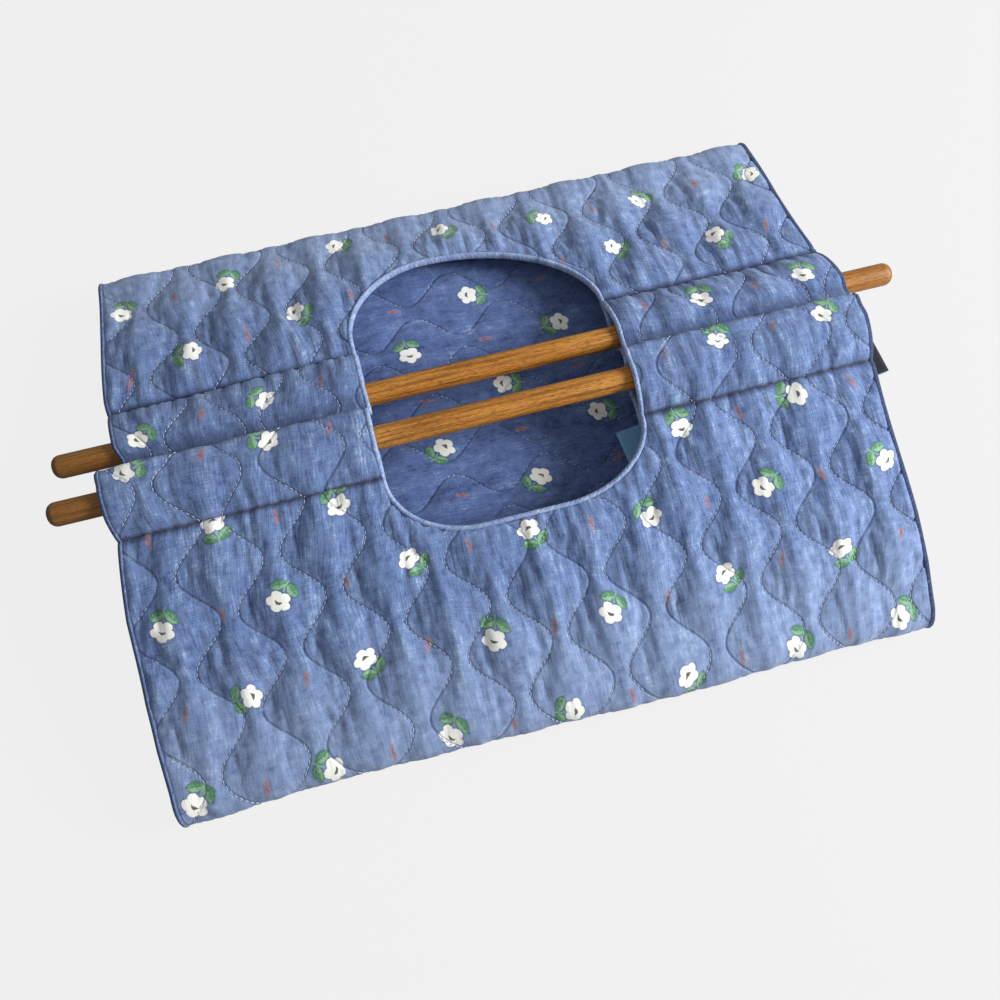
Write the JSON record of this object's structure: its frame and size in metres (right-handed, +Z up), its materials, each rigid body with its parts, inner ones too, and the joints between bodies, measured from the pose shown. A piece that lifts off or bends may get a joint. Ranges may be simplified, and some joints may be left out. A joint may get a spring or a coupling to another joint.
{
  "type": "casserole carrier",
  "caption": "Folded quilted calico casserole carrier with a wrap panel, a rounded hand opening and wood dowel handles in sewn sleeves.",
  "frame": {"origin": "middle of the underside of the base panel, which lies on the table", "axes": "+X to the right along the dowels, +Y to the rear flap, +Z up; the front flap is at -Y"},
  "size_m": [0.4711, 0.3118, 0.068],
  "materials": {
    "calico": "quilted cotton calico, slub weave, small flower print",
    "lining": "quilted cotton, plain slub weave",
    "edging": "rolled cotton binding",
    "stained_wood": "stained and waxed hardwood dowel",
    "strap_cloth": "woven cotton tape",
    "hook_cloth": "woven hook tape"
  },
  "bodies": {
    "base": {"base_panel": "lining", "base_binding_left": "edging", "base_binding_right": "edging", "front_fold": "calico", "rear_fold": "calico", "wrap_base_panel": "calico", "wrap_base_binding_front": "edging", "wrap_base_binding_rear": "edging", "left_wrap_flap": "calico", "left_wrap_binding": "edging", "left_wrap_fold": "calico", "right_wrap_flap": "calico", "right_wrap_binding": "edging", "right_wrap_fold": "calico", "closure_strap": "strap_cloth", "closure_hook_tape": "hook_cloth", "closure_loop_tape": "strap_cloth"},
    "front_flap": {"front_flap_panel": "calico", "front_sleeve_left": "calico", "front_sleeve_right": "calico", "front_binding_left": "edging", "front_binding_right": "edging", "front_cutout_binding": "edging"},
    "front_handle": {"front_dowel": "stained_wood"},
    "rear_flap": {"rear_flap_panel": "calico", "rear_sleeve_left": "calico", "rear_sleeve_right": "calico", "rear_binding_left": "edging", "rear_binding_right": "edging", "rear_cutout_binding": "edging"},
    "rear_handle": {"rear_dowel": "stained_wood"}
  },
  "joints": [
    {"name": "front_flap_hinge", "type": "hinge", "parent": "base", "child": "front_flap", "pos_m": [0, -0.1425, 0.0135], "axis": [1, 0, 0], "range_deg": [0, 163.5], "deforming": ["front_fold"]},
    {"name": "rear_flap_hinge", "type": "hinge", "parent": "base", "child": "rear_flap", "pos_m": [0, 0.1425, 0.0135], "axis": [-1, 0, 0], "range_deg": [0, 164.5], "deforming": ["rear_fold"]},
    {"name": "front_dowel_slide", "type": "slide", "parent": "front_flap", "child": "front_handle", "axis": [1, 0, 0], "range_m": [-0.1, 0.14]},
    {"name": "rear_dowel_slide", "type": "slide", "parent": "rear_flap", "child": "rear_handle", "axis": [1, 0, 0], "range_m": [-0.135, 0.14]}
  ]
}
